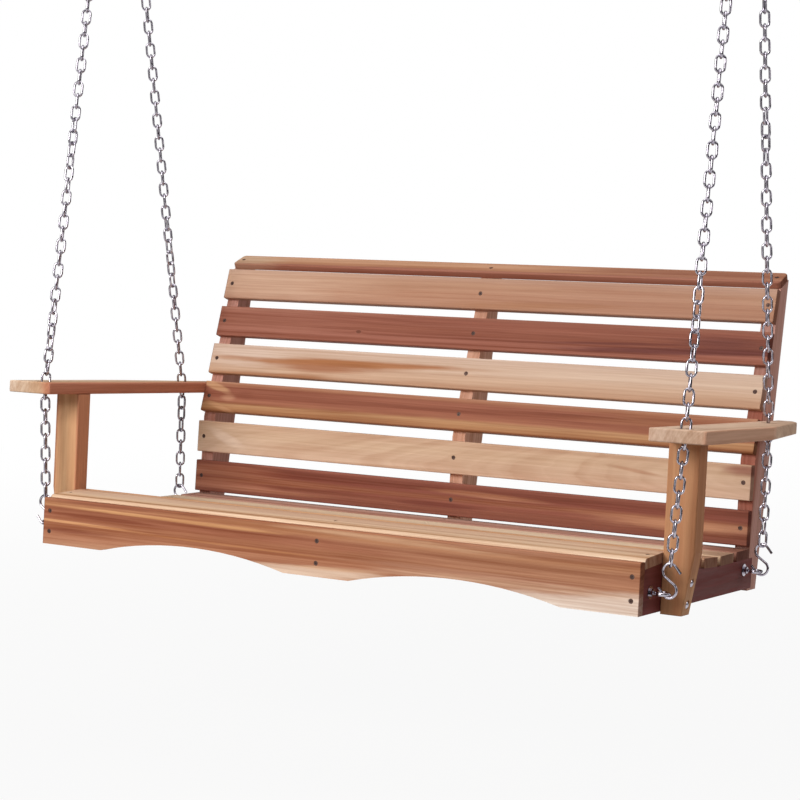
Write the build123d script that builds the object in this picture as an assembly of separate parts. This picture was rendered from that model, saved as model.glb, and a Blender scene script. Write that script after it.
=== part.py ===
from build123d import *
import os
from math import acos, atan2, cos, degrees, hypot, radians, sin, sqrt, tan

# A two-chain cedar porch swing, hung by four chains from two ceiling hooks.
# The timber frame is drawn on the bench: X across, Y from front to back, Z up,
# with Z = 0 on the underside of the rails and Y = 0 on the face of the apron.
# It is then hung: leaned back until its weight hangs straight under the hooks.
# All sizes are millimetres, angles are degrees.

os.makedirs("parts", exist_ok=True)

# --- timber -----------------------------------------------------------------
seat_width = 1219.0  # length of the apron, the cap and every slat
board = 17.0  # thickness of the apron and of the slats
frame_stock = 28.0  # thickness of the rails and of the back uprights
eased_edge = 2.5  # rounding along the edges of every board

apron_height = 87.0
arch_rise = 25.0  # height of the two arches cut in the apron
arch_end = 137.5  # straight stretch at each end of the apron
arch_middle = 134.0  # straight stretch between the arches

rail_front_height = 74.5
seat_rises = (4.2, -7.0, -12.0, -2.0, 1.0, 1.0)  # rise of each seat slat towards the back
seat_depth = 486.5  # from the back of the apron to the foot of the uprights
lap_length = 18.5  # tongue of a rail, let into its upright
lap_share = 0.5  # part of the thickness that the tongue keeps

front_slat_width = 89.0
seat_slat_width = 65.0
rear_slats = 5  # seat slats behind the wide front one
nosing_radius = 9.0  # rounding on the front edge of the front slat
slat_to_apron = 1.2  # clearance before the front slat
slat_to_upright = 0.5  # clearance behind the last seat slat

foot_drop = 4.0  # the uprights and the posts end this far below the rails
foot_depth = 43.5  # depth of an upright at Z = 0
lower_lean = 1.5  # front edge of the uprights, below the bend
upper_lean = 15.5  # front edge of the uprights, above the bend
rear_lean = 9.0  # straight rear edge of the uprights
bend_height = 233.0
back_slat_width = 64.5
back_slat_gap = 18.0
lower_back_slats = 2
upper_back_slats = 4
top_margin = 5.0  # uprights go on above the top slat

cap_thickness = 13.5
cap_slope = 24.5
cap_overhang = 2.0
cap_corner = 9.0

post_setback = 73.0  # front of the post behind the back of the apron
post_width = 55.0
post_depth = 36.0
post_foot_width = 37.5
taper_height = 100.0
arm_height = 282.0  # underside of the armrests
arm_thickness = 22.0
arm_width = 99.0
arm_length = 620.0
arm_straight = 316.0  # the outer edge runs straight this far, then tapers
arm_clip_start = 590.0
arm_clip_width = 47.0
arm_rear_width = 30.0
arm_corner = 4.0

# --- fasteners ----------------------------------------------------------------
screw_radius = 2.0
screw_head_radius = 4.2
screw_head_rim = 0.4
screw_sink = 0.8  # heads sit below the face by this much
screw_play = 0.1  # radial clearance round every fastener
driver_slot = 2.6  # square recess in a screw head
driver_depth = 1.8
slat_screw = 38.0
arm_screw = 48.0
lap_screw = 24.0
cap_screw = 34.0
apron_screw = 45.0
apron_screw_margin = 24.0  # from the top and the bottom of the apron

bolt_radius = 3.1
bolt_head_radius = 7.2
bolt_head_height = 3.6
bolt_neck = 6.2
bolt_low = 14.0  # height of the lower bolt of a post
bolt_high = 50.0
washer_radius = 8.0
washer_thickness = 1.6
nut_width = 11.0  # across the flats
nut_height = 5.5
thread_out = 3.0  # thread showing beyond a nut

# --- chain gear -----------------------------------------------------------------
eye_height = 36.0
front_eye = 26.0  # behind the back of the apron
rear_eye = 24.5  # before the foot of the uprights
eye_wire = 3.1  # radius
eye_loop = 10.5  # radius of the loop's centre line
eye_neck = 12.0  # from the rail's face to the loop's centre line
eye_washer_radius = 11.0

s_hook_wire = 2.25  # radius
s_hook_bend = 12.5  # radius of the centre line
s_hook_height = 60.0  # overall
s_hook_mouth = 40.0  # where the bent part ends and the straight tip begins
s_hook_tip = 14.0

link_wire = 2.3  # radius
link_pitch = 23.6
link_inside = 10.6  # clear width of a link
lower_link_count = 9  # links from an S-hook to the armrest
front_link_count = 54  # links from the armrest to the ring
rear_link_count = 55
touch = 0.3  # gap that stands for metal resting on metal

chain_hole = 15.0  # radius of the hole in the armrest
front_hole_in = 46.0  # hole centres from the inner edge of the armrest
rear_hole_in = 34.0
front_hole_back = 40.0  # hole centres from the front end of the armrest
rear_hole_back = 474.5
front_push = 3.5  # the front chain lies this far behind its hole's centre
rear_push = 1.5  # the rear chain lies this far before its hole's centre

ring_radius = 26.0  # centre line
ring_wire = 4.0  # radius
ring_spread = 6.0  # the chains sit this far to each side of the ring's lowest point
hanger_spread = 46.5  # ceiling hooks stand this far outside the seat's ends
hook_wire = 4.75  # radius
hook_bend = 19.0  # radius of the centre line
hook_shoulder = 12.0  # radius of the bend between shank and hook
hook_neck = 12.0  # plain shank below the ceiling
hook_shank = 60.0  # length in the ceiling
hook_point = 8.0
hook_tip_angle = 25.0

wood_density = 600.0  # kg per cubic metre
steel_density = 7850.0

# --- derived places ---------------------------------------------------------------
half_width = seat_width / 2
rail_middle = half_width - frame_stock / 2  # X of a side rail's centre plane
foot_front = board + seat_depth  # Y of an upright's front edge at Z = 0
foot_rear = foot_front + foot_depth
rail_end = foot_front + lap_length
lap_thickness = frame_stock * lap_share
post_front = board + post_setback
post_middle = post_front + post_depth / 2
arm_top = arm_height + arm_thickness
bend_front = foot_front + bend_height * tan(radians(lower_lean))

lower_back = Location((0, bend_front, bend_height), (-lower_lean, 0, 0))
upper_back = Location((0, bend_front, bend_height), (-upper_lean, 0, 0))


def seat_slat_rows():
    """Plane and width of each seat slat, laid evenly over the dished rails."""
    widths = [front_slat_width] + [seat_slat_width] * rear_slats
    rises = [radians(rise) for rise in seat_rises]
    turns = [(one + two) / 2 for one, two in zip(rises, rises[1:])]
    y = board + slat_to_apron
    z = rail_front_height + slat_to_apron * tan(rises[0])
    end_y = y + sum(width * cos(rise) for width, rise in zip(widths, rises))
    end_z = z + sum(width * sin(rise) for width, rise in zip(widths, rises))
    lean = tan(radians(lower_lean))
    gap = ((foot_front - slat_to_upright + end_z * lean - end_y)
           / (sum(cos(turn) for turn in turns) - lean * sum(sin(turn) for turn in turns)))
    rows = []
    for width, rise, turn in zip(widths, rises, turns + [0.0]):
        rows.append((Location((0, y, z), (degrees(rise), 0, 0)), width))
        y += width * cos(rise) + gap * cos(turn)
        z += width * sin(rise) + gap * sin(turn)
    return rows


seat_rows = seat_slat_rows()
rail_contour = [(board, rail_front_height)]  # top edge of a rail, flat under every slat
for plane, width in seat_rows:
    for distance in (0.0, width):
        point = (plane * Pos(0, distance, 0)).position
        rail_contour.append((point.Y, point.Z))
rail_rear_height = rail_contour[-1][1] + (rail_end - rail_contour[-1][0]) * tan(radians(seat_rises[-1]))
rail_contour.append((rail_end, rail_rear_height))


def eased(solid, axis, radius=eased_edge):
    """Round the edges of a board that run along an axis."""
    return fillet(solid.edges().filter_by(axis), radius)


def yz_plate(points, x_low, x_high):
    """A flat plate with its outline in Y and Z."""
    face = make_face(Plane.YZ * Polyline(*points, close=True))
    return Pos(x_low, 0, 0) * extrude(face, x_high - x_low, dir=(1, 0, 0))


def mirrored(solid):
    return mirror(solid, about=Plane.YZ)


def group(solids):
    return Compound(children=list(solids))


# --- fasteners --------------------------------------------------------------------
def spin_profile(points):
    """Turn an outline of (radius, height) points about Z."""
    face = make_face(Plane.XZ * Polyline(*points, close=True))
    return revolve(face, Axis.Z)


def screw_shape(length, play=0.0):
    """A countersunk screw that points down from Z = 0, the face it is driven into."""
    head = screw_head_radius + play
    shank = screw_radius + play
    top = 1.0 if play else -screw_sink
    rim = -screw_sink - screw_head_rim - play
    neck = rim - (screw_head_radius - screw_radius)
    tip = -length - play
    screw = spin_profile([(0, top), (head, top), (head, rim), (shank, neck),
                          (shank, tip + 2 * screw_radius), (0, tip)])
    if play:
        return screw
    return screw - Pos(0, 0, top - driver_depth / 2) * Box(driver_slot, driver_slot, driver_depth)


def hex_nut(radius):
    blank = extrude(RegularPolygon(nut_width / 2, 6, major_radius=False), nut_height)
    return blank - Cylinder(radius + screw_play, 3 * nut_height)


def washer(outer, bore):
    ring = Cylinder(outer, washer_thickness) - Cylinder(bore + screw_play, 2 * washer_thickness)
    return Pos(0, 0, washer_thickness / 2) * ring


# --- seat frame -------------------------------------------------------------------
def apron_shape():
    """Front board with two shallow arches cut in its lower edge."""
    blank = Pos(0, board / 2, apron_height / 2) * Box(seat_width, board, apron_height)
    chord = half_width - arch_end - arch_middle / 2
    radius = ((chord / 2) ** 2 + arch_rise ** 2) / (2 * arch_rise)
    centre_x = arch_middle / 2 + chord / 2
    for side in (-1, 1):
        arch = Pos(side * centre_x, board / 2, arch_rise - radius) * Rot(90, 0, 0)
        blank -= arch * Cylinder(radius, 2 * board)
    long_edges = blank.edges().filter_by(Axis.X).group_by(Axis.Z)[-1]
    return fillet(long_edges, eased_edge)


def rail_shape(x_middle, tongue_side):
    """A rail with a tongue on one cheek, let into the foot of its upright."""
    low, high = x_middle - frame_stock / 2, x_middle + frame_stock / 2
    outline = [(board, 0), (rail_end, 0)] + rail_contour[::-1]
    cheek = (high - lap_thickness, high) if tongue_side > 0 else (low, low + lap_thickness)
    return yz_plate(outline, low, high), yz_plate(outline, *cheek)


def back_edge(distance, lean=upper_lean):
    """A point on the front edge of an upright, up from the bend."""
    return (bend_front + distance * sin(radians(lean)), bend_height + distance * cos(radians(lean)))


upper_rows = upper_back_slats * (back_slat_width + back_slat_gap)
top_front = back_edge(upper_rows - back_slat_gap / 2 + top_margin)
rear_tan = tan(radians(rear_lean))
cap_run = ((foot_rear + top_front[1] * rear_tan - top_front[0])
           / (cos(radians(cap_slope)) - sin(radians(cap_slope)) * rear_tan))
top_rear = (top_front[0] + cap_run * cos(radians(cap_slope)),
            top_front[1] + cap_run * sin(radians(cap_slope)))
cap_plane = Location((0, *top_front), (cap_slope, 0, 0))


def upright_shape(x_middle):
    """An upright: bent front edge, straight rear edge, sloping top."""
    outline = [(foot_front - foot_drop * tan(radians(lower_lean)), -foot_drop),
               (bend_front, bend_height), top_front, top_rear,
               (foot_rear - foot_drop * rear_tan, -foot_drop)]
    return yz_plate(outline, x_middle - frame_stock / 2, x_middle + frame_stock / 2)


def back_slat_rows():
    """Plane and start of each back slat, from the top slat down."""
    step = back_slat_width + back_slat_gap
    rows = []
    for number in reversed(range(upper_back_slats)):
        rows.append((upper_back, back_slat_gap / 2 + number * step))
    for number in range(lower_back_slats):
        rows.append((lower_back, -back_slat_gap / 2 - back_slat_width - number * step))
    return rows


# --- arms ---------------------------------------------------------------------------
def post_shape():
    """The right arm post, tapered on the outside towards its foot."""
    outline = [(0, -foot_drop), (post_foot_width, -foot_drop), (post_width, taper_height),
               (post_width, arm_height), (0, arm_height)]
    face = make_face(Plane.XZ * Polyline(*outline, close=True))
    post = Pos(half_width, post_front, 0) * extrude(face, post_depth, dir=(0, 1, 0))
    corners = post.edges().filter_by(lambda e: abs(e.tangent_at(0).Y) < 0.01
                                     and abs(e.tangent_at(0).Z) > 0.9)
    return fillet(corners, eased_edge)


def post_outer(z):
    """Distance of the post's outer face from the rail at a height."""
    if z >= taper_height:
        return post_width
    rise = (z + foot_drop) / (taper_height + foot_drop)
    return post_foot_width + (post_width - post_foot_width) * rise


def armrest_shape():
    """The right armrest: straight outside, then tapered, with a clipped rear corner."""
    outline = [(0, 0), (arm_width, 0), (arm_width, arm_straight),
               (arm_clip_width, arm_clip_start), (arm_rear_width, arm_length), (0, arm_length)]
    face = make_face(Polyline(*outline, close=True))
    arm = extrude(face, arm_thickness)
    arm = fillet(arm.edges().filter_by(Axis.Z), arm_corner)
    rims = arm.edges().group_by(Axis.Z)
    arm = fillet(rims[0] + rims[-1], eased_edge)
    for x, y in ((front_hole_in, front_hole_back), (rear_hole_in, rear_hole_back)):
        arm -= Pos(x, y, arm_thickness / 2) * Cylinder(chain_hole, 2 * arm_thickness)
    return Pos(half_width, 0, arm_height) * arm


# --- chain gear ---------------------------------------------------------------------
def rod(path, radius):
    """Round wire bent along a path, with square-cut ends."""
    start = Plane(origin=path @ 0, z_dir=path % 0)
    return sweep(start * Circle(radius), path=path)


eye_x = half_width + eye_neck + eye_loop  # X of the loop's centre
s_hook_x = eye_x + eye_loop  # the S-hook hangs on the outer side of the loop
s_hook_low = eye_height - eye_wire - touch - s_hook_wire  # centre line at its lowest
s_hook_span = s_hook_height - 2 * s_hook_wire - 2 * s_hook_bend  # between the two centres


def eye_bolt_shape():
    """Eye bolt on the X axis, with the rail's outer face at X = 0."""
    loop = Pos(eye_neck + eye_loop, 0, 0) * Torus(eye_loop, eye_wire)
    inside = frame_stock + washer_thickness + nut_height + thread_out
    shank = Pos((eye_neck - inside) / 2, 0, 0) * Rot(0, 90, 0) * Cylinder(eye_wire, inside + eye_neck)
    return loop + shank


def s_hook_shape():
    """Open S-hook in the XZ plane, centred on the origin."""
    half = s_hook_span / 2
    slant = degrees(acos(s_hook_bend / half))
    bend = CenterArc((0, half), s_hook_bend, s_hook_mouth, 270 - slant - s_hook_mouth)
    mouth = bend @ 0
    tip = mouth - (bend % 0) * s_hook_tip
    upper = [Line(tip, mouth), bend]
    lower = [edge.rotate(Axis.Z, 180) for edge in upper]
    waist = Line(bend @ 1, -(bend @ 1))
    path = Plane.XZ * Wire(upper + [waist] + lower)
    return rod(path, s_hook_wire)


def link_shape():
    """One link, standing along Z with its loop in the XZ plane."""
    inner_end = (link_pitch + touch) / 2
    bend = link_inside / 2 + link_wire
    straight = inner_end + link_wire - bend
    path = Wire([Line((bend, -straight), (bend, straight)),
                 CenterArc((0, straight), bend, 0, 180),
                 Line((-bend, straight), (-bend, -straight)),
                 CenterArc((0, -straight), bend, 180, 180)])
    section = Plane(origin=(bend, 0, 0), z_dir=(0, 0, 1)) * Circle(link_wire)
    return sweep(section, path=Plane.XZ * path)


def link_run(start, end, count, first_turn, turn):
    """Places of links between two points, each turned about the run by turn more."""
    along = (end - start).normalized()
    across = Vector(0, 1, 0).cross(along).normalized()
    base = Plane(origin=start, x_dir=across, z_dir=along)
    step = (end - start).length / count
    places = []
    for number in range(count):
        places.append(base.location * Pos(0, 0, (number + 0.5) * step)
                      * Rot(0, 0, first_turn + number * turn))
    return places


def chain_points(eye_y, hole_in, hole_y):
    """Foot of a right-hand chain, and its bend in the armrest."""
    foot = Vector(s_hook_x, eye_y, s_hook_low + s_hook_span + 2 * s_hook_bend
                  - s_hook_wire - touch / 2)
    side_x = half_width + hole_in - foot.X
    side_y = hole_y - foot.Y
    rise = sqrt((lower_link_count * link_pitch) ** 2 - side_x ** 2 - side_y ** 2)
    return foot, foot + Vector(side_x, side_y, rise)


hanger_x = half_width + hanger_spread
front_foot, front_bend = chain_points(board + front_eye, front_hole_in, front_hole_back + front_push)
rear_foot, rear_bend = chain_points(foot_front - rear_eye, rear_hole_in, rear_hole_back - rear_push)

# where the chains sit on the ring, seen from its centre
ring_inside = ring_radius - ring_wire - touch / 2
front_seat = Vector(0, -ring_spread, -sqrt(ring_inside ** 2 - ring_spread ** 2))
rear_seat = Vector(0, ring_spread, front_seat.Z)


def ring_centre():
    """Where the chains meet: the point at the reach of the front and of the rear chain."""
    front, rear = front_bend - front_seat, rear_bend - rear_seat
    front_radius = sqrt((front_link_count * link_pitch) ** 2 - (hanger_x - front.X) ** 2)
    rear_radius = sqrt((rear_link_count * link_pitch) ** 2 - (hanger_x - rear.X) ** 2)
    dy, dz = rear.Y - front.Y, rear.Z - front.Z
    span = hypot(dy, dz)
    along = (front_radius ** 2 - rear_radius ** 2 + span ** 2) / (2 * span)
    height = sqrt(front_radius ** 2 - along ** 2)
    return Vector(hanger_x, front.Y + (along * dy - height * dz) / span,
                  front.Z + (along * dz + height * dy) / span)


ring_place = ring_centre()


def chain_shape(foot, bend, seat, upper_count):
    """All links of one right-hand chain, twisted evenly where their number is odd."""
    count = lower_link_count + upper_count
    turn = 90.0 + (90.0 / (count - 1) if count % 2 else 0.0)
    places = link_run(foot, bend, lower_link_count, 90.0, turn)
    places += link_run(bend, ring_place + seat, upper_count, 90.0 + lower_link_count * turn, turn)
    link = link_shape()
    return [place * link for place in places]


def ceiling_hook_shape():
    """Screw hook with its shank on Z, the ceiling at Z = 0 and its hook in the XZ plane."""
    swing = degrees(acos(hook_shoulder / (hook_bend + hook_shoulder)))
    drop = (hook_bend + hook_shoulder) * sin(radians(swing))
    shank = Line((0, hook_shank - hook_point), (0, -hook_neck))
    shoulder = CenterArc((-hook_shoulder, -hook_neck), hook_shoulder, 0, -swing)
    crook = CenterArc((0, -hook_neck - drop), hook_bend, 180 - swing, 180 + swing + hook_tip_angle)
    wire = rod(Plane.XZ * Wire([shank, shoulder, crook]), hook_wire)
    end = spin_profile([(0, hook_shank - hook_point), (hook_wire, hook_shank - hook_point),
                        (0, hook_shank)])
    return wire + end, -hook_neck - drop - hook_bend


# --- the timber pieces ----------------------------------------------------------------
timber = {}
metal = {}

timber["front_apron"] = apron_shape()
for name, x, side in (("left", -rail_middle, -1), ("centre", 0.0, 1), ("right", rail_middle, 1)):
    rail, tongue = rail_shape(x, side)
    upright = upright_shape(x) - tongue
    timber["seat_rail_" + name] = rail - upright
    timber["back_upright_" + name] = upright

for number, (plane, width) in enumerate(seat_rows, start=1):
    slat = eased(Box(seat_width, width, board), Axis.X)
    if number == 1:
        blank = Box(seat_width, width, board)
        sides = blank.edges().filter_by(Axis.X)
        front_top = sides.sort_by(Axis.Y)[:2].sort_by(Axis.Z)[-1]
        slat = fillet([front_top], nosing_radius)
        others = slat.edges().filter_by(Axis.X).sort_by(Axis.Y)[-2:]
        slat = fillet(others, eased_edge)
    timber[f"seat_slat_{number}"] = plane * Pos(0, width / 2, board / 2) * slat

for number, (plane, start) in enumerate(back_slat_rows(), start=1):
    slat = eased(Box(seat_width, board, back_slat_width), Axis.X)
    middle = Pos(0, -board / 2, start + back_slat_width / 2)
    timber[f"back_slat_{number}"] = plane * middle * slat

cap_width = cap_run + 2 * cap_overhang
cap = fillet(Box(seat_width, cap_width, cap_thickness).edges().filter_by(Axis.Z), cap_corner)
cap_rims = cap.edges().group_by(Axis.Z)
cap = fillet(cap_rims[0] + cap_rims[-1], eased_edge)
timber["top_cap"] = cap_plane * Pos(0, cap_run / 2, cap_thickness / 2) * cap

timber["arm_post_right"] = post_shape()
timber["armrest_right"] = armrest_shape()

# --- screws: where each one is driven, pointing down its own -Z ------------------------
rails_x = (-rail_middle, 0.0, rail_middle)
face_down = Rot(90, 0, 0)  # a screw driven backwards, into a front face
screws = {name: [] for name in ("apron_screws", "seat_slat_screws", "back_slat_screws",
                                "cap_screws", "armrest_screws", "arm_brace_screws",
                                "lap_screws")}
for x in rails_x:
    for z in (apron_screw_margin, apron_height - apron_screw_margin):
        screws["apron_screws"].append((Pos(x, 0, z) * face_down, apron_screw))
    for plane, width in seat_rows:
        place = plane * Pos(x, width / 2, board)
        screws["seat_slat_screws"].append((place, slat_screw))
    for plane, start in back_slat_rows():
        place = plane * Pos(x, -board, start + back_slat_width / 2) * face_down
        screws["back_slat_screws"].append((place, slat_screw))
    screws["cap_screws"].append((cap_plane * Pos(x, cap_run / 2, cap_thickness), cap_screw))

# two through each armrest into its post, two through the upright into the armrest
brace_middle = (bend_front + (arm_height - bend_height) * tan(radians(upper_lean))
                + foot_rear + arm_height * rear_tan) / 2
brace_step = 28.0
lap_heights = (0.28, 0.76)  # of the rail's rear height
for side in (-1, 1):
    for share in (0.3, 0.7):
        x = side * (half_width + share * post_width)
        screws["armrest_screws"].append((Pos(x, post_middle, arm_top), arm_screw))
        y = brace_middle + (share - 0.5) / 0.4 * brace_step
        place = Pos(side * (half_width - frame_stock), y, arm_height + arm_thickness / 2)
        screws["arm_brace_screws"].append((place * Rot(0, -90 * side, 0), arm_screw))
for x, side in zip(rails_x, (-1, 1, 1)):
    for share in lap_heights:
        place = Pos(x - side * frame_stock / 2, foot_front + lap_length / 2,
                    share * rail_rear_height)
        screws["lap_screws"].append((place * Rot(0, -90 * side, 0), lap_screw))

for name, places in screws.items():
    metal[name] = group(place * screw_shape(length) for place, length in places)

# --- bolts of the arm posts and eye bolts, right-hand side ------------------------------
bolt_parts = {"post_bolts": [], "post_bolt_washers": [], "post_bolt_nuts": []}
eye_washers, eye_nuts, bolt_holes, spot_faces = [], [], [], []
inner_face = half_width - frame_stock
for z in (bolt_low, bolt_high):
    seat = half_width + post_outer(z - bolt_head_radius) - 1.0
    grip = seat - inner_face
    tail = washer_thickness + nut_height + thread_out
    dome_radius = (bolt_head_radius ** 2 + bolt_head_height ** 2) / (2 * bolt_head_height)
    dome = Pos(0, 0, bolt_head_height - dome_radius) * Sphere(dome_radius)
    head = dome & Pos(0, 0, bolt_head_height / 2) * Cylinder(bolt_head_radius, bolt_head_height)
    neck = Pos(0, 0, -1.5) * Box(bolt_neck, bolt_neck, 3.0)
    shank = Pos(0, 0, -(grip + tail) / 2) * Cylinder(bolt_radius, grip + tail)
    place = Pos(seat, post_middle, z) * Rot(0, 90, 0)
    bolt_parts["post_bolts"].append(place * (head + neck + shank))
    inside = Pos(inner_face, post_middle, z) * Rot(0, -90, 0)
    bolt_parts["post_bolt_washers"].append(inside * washer(washer_radius, bolt_radius))
    nut_place = inside * Pos(0, 0, washer_thickness)
    bolt_parts["post_bolt_nuts"].append(nut_place * hex_nut(bolt_radius))
    bolt_holes.append(place * Pos(0, 0, -grip / 2) * Cylinder(bolt_radius + screw_play, grip + 2))
    neck_hole = Box(bolt_neck + 2 * screw_play, bolt_neck + 2 * screw_play, 3.0 + screw_play)
    bolt_holes.append(place * Pos(0, 0, -(3.0 + screw_play) / 2) * neck_hole)
    spot_faces.append(place * Pos(0, 0, 5) * Cylinder(bolt_head_radius + screw_play, 10))

for name, eye_y in (("front", board + front_eye), ("rear", foot_front - rear_eye)):
    place = Pos(half_width, eye_y, eye_height)
    metal[f"eye_bolt_{name}_right"] = place * eye_bolt_shape()
    outside = place * Rot(0, 90, 0)
    inside = Pos(inner_face, eye_y, eye_height) * Rot(0, -90, 0)
    for face in (outside, inside):
        eye_washers.append(face * washer(eye_washer_radius, eye_wire))
        eye_nuts.append(face * Pos(0, 0, washer_thickness) * hex_nut(eye_wire))
    hole = Rot(0, 90, 0) * Cylinder(eye_wire + screw_play, 2 * frame_stock + 2)
    bolt_holes.append(place * hole)
    s_hook = Pos(s_hook_x, eye_y, s_hook_low + s_hook_bend + s_hook_span / 2) * s_hook_shape()
    metal[f"s_hook_{name}_right"] = s_hook

metal["chain_front_right"] = group(
    chain_shape(front_foot, front_bend, front_seat, front_link_count))
metal["chain_rear_right"] = group(
    chain_shape(rear_foot, rear_bend, rear_seat, rear_link_count))
ring = Pos(*ring_place) * Rot(0, 90, 0) * Torus(ring_radius, ring_wire)
metal["hanging_ring_right"] = ring

# --- drill the timber --------------------------------------------------------------------
rail_holes = bolt_holes[:]
timber["seat_rail_right"] = timber["seat_rail_right"] - rail_holes
timber["seat_rail_left"] = timber["seat_rail_left"] - [mirrored(hole) for hole in rail_holes]
timber["arm_post_right"] = timber["arm_post_right"] - rail_holes - spot_faces

drilled = {"apron_screws": ("front_apron", "seat_rail"), "seat_slat_screws": ("seat_slat", "seat_rail"),
           "back_slat_screws": ("back_slat", "back_upright"), "cap_screws": ("top_cap", "back_upright"),
           "armrest_screws": ("armrest", "arm_post"), "arm_brace_screws": ("back_upright", "armrest"),
           "lap_screws": ("back_upright", "seat_rail")}
for fastener, starts in drilled.items():
    holes = [place * screw_shape(length, screw_play) for place, length in screws[fastener]]
    for name in timber:
        if name.startswith(starts):
            box = timber[name].bounding_box()
            near = [hole for hole in holes if box.overlaps(hole.bounding_box())]
            if near:
                timber[name] = timber[name] - near

# --- the left-hand side mirrors the right, except the S-hooks, which all face one way ------
for name in ("front", "rear"):
    metal[f"s_hook_{name}_left"] = Pos(-2 * s_hook_x, 0, 0) * metal[f"s_hook_{name}_right"]
for pieces in (timber, metal):
    for name in [name for name in pieces if name.endswith("_right")]:
        left = name[:-len("right")] + "left"
        if left not in pieces:
            pieces[left] = mirrored(pieces[name])
for name, solids in bolt_parts.items():
    metal[name] = group(solids + [mirrored(solid) for solid in solids])
metal["eye_bolt_washers"] = group(eye_washers + [mirrored(solid) for solid in eye_washers])
metal["eye_bolt_nuts"] = group(eye_nuts + [mirrored(solid) for solid in eye_nuts])


# --- hang the swing --------------------------------------------------------------------------
def balance(densities):
    """Mass, and centre of mass in Y and Z, of pieces given with their densities."""
    mass, moment_y, moment_z = 0.0, 0.0, 0.0
    for pieces, density in densities:
        for piece in pieces.values():
            for solid in piece.solids():
                weight = density * solid.volume * 1e-9
                centre = solid.center()
                mass += weight
                moment_y += weight * centre.Y
                moment_z += weight * centre.Z
    return mass, moment_y / mass, moment_z / mass


mass, balance_y, balance_z = balance([(timber, wood_density), (metal, steel_density)])
lean_back = degrees(atan2(balance_y - ring_place.Y, ring_place.Z - balance_z))
ceiling_hook, hook_axis = ceiling_hook_shape()
ring_hang = hook_axis + hook_wire + touch + ring_wire - ring_radius
hung = Pos(0, 0, ring_hang) * Rot(-lean_back, 0, 0) * Pos(0, -ring_place.Y, -ring_place.Z)

nodes = {name: hung * piece for name, piece in {**timber, **metal}.items()}
nodes["ceiling_hook_right"] = Pos(hanger_x, 0, 0) * ceiling_hook
nodes["ceiling_hook_left"] = mirrored(nodes["ceiling_hook_right"])

for name, piece in nodes.items():
    export_step(piece, f"parts/{name}.step")
print(f"mass {mass:.2f} kg, leans back {lean_back:.3f} degrees, swing axis at Z {hook_axis:.3f}")
print(f"ring centre Y {ring_place.Y:.1f} Z {ring_place.Z:.1f} on the bench, hung at Z {ring_hang:.3f}")
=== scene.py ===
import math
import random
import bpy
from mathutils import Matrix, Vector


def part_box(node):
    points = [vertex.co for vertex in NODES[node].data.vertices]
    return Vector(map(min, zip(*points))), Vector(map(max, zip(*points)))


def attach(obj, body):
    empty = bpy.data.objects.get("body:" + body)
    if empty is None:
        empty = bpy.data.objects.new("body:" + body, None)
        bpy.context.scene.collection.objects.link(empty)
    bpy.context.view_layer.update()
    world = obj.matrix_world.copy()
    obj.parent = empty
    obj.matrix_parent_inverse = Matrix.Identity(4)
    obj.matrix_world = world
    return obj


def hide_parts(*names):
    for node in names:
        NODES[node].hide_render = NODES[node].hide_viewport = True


bl_info = {
    "name": "Cedar Porch Swing",
    "version": (1, 0, 0),
    "blender": (4, 5, 0),
    "location": "3D View > Sidebar > Porch Swing",
    "description": "Dresses the packed porch swing in cedar and zinc, and sets it in a studio",
    "category": "Object",
}

import bmesh
import bpy
from bpy.props import FloatProperty, FloatVectorProperty, PointerProperty
from mathutils import Matrix, Vector

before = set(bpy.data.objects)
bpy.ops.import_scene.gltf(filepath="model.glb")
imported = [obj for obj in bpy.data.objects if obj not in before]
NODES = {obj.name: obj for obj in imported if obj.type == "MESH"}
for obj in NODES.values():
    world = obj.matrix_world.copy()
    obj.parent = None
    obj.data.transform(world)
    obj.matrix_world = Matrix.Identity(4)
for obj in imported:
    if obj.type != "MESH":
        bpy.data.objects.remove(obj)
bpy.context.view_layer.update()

# how the hung swing leans back, and how its parts slope on the bench, in degrees
LEAN = 6.637
SEAT_RISES = (4.2, -7.0, -12.0, -2.0, 1.0, 1.0)
LOWER_BACK = -1.5
UPPER_BACK = -15.5
UPPER_SLATS = 4
REAR_EDGE = -9.0
CAP_SLOPE = 24.5


# --- what a user may change -----------------------------------------------------------


def tint(name, description, default):
    """A colour that a user may change."""
    return FloatVectorProperty(name=name, description=description, subtype="COLOR", size=3,
                               default=default, min=0.0, max=1.0)


class SwingWood(bpy.types.PropertyGroup):
    """Sizes and colours of the cedar boards."""

    ring_gap: FloatProperty(name="Ring gap", description="Distance between growth rings",
                            default=0.0042, min=0.001, max=0.02, unit="LENGTH")
    grain_depth: FloatProperty(name="Grain depth", description="Height of the raised grain",
                               default=0.00035, min=0.0, max=0.002, unit="LENGTH")
    end_grain: tint("End grain", "Tint of the sawn ends", (0.53, 0.43, 0.42))
    knot: tint("Knot", "Colour of the knots", (0.09, 0.030, 0.018))


class SwingSteel(bpy.types.PropertyGroup):
    """Sizes and colours of the chains and fittings."""

    zinc: tint("Zinc", "Colour of the bright plating", (0.50, 0.47, 0.52))
    screw: tint("Screws", "Colour of the screw heads", (0.12, 0.075, 0.062))
    link_play: FloatProperty(name="Link play", description="How far single links turn out of line",
                             default=math.radians(3.0), min=0.0, max=math.radians(5.0),
                             subtype="ANGLE")


class SwingStudio(bpy.types.PropertyGroup):
    """The stage, the light and the camera."""

    floor: tint("Floor", "Colour of the floor in the light that it throws back", (0.36, 0.34, 0.33))
    floor_height: FloatProperty(name="Floor height", description="Height of the floor in the frame",
                                default=-2.05, unit="LENGTH")
    lens: FloatProperty(name="Lens", description="Focal length of the camera in millimetres",
                        default=90.815, min=10.0)


# --- node helpers ---------------------------------------------------------------------


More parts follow.
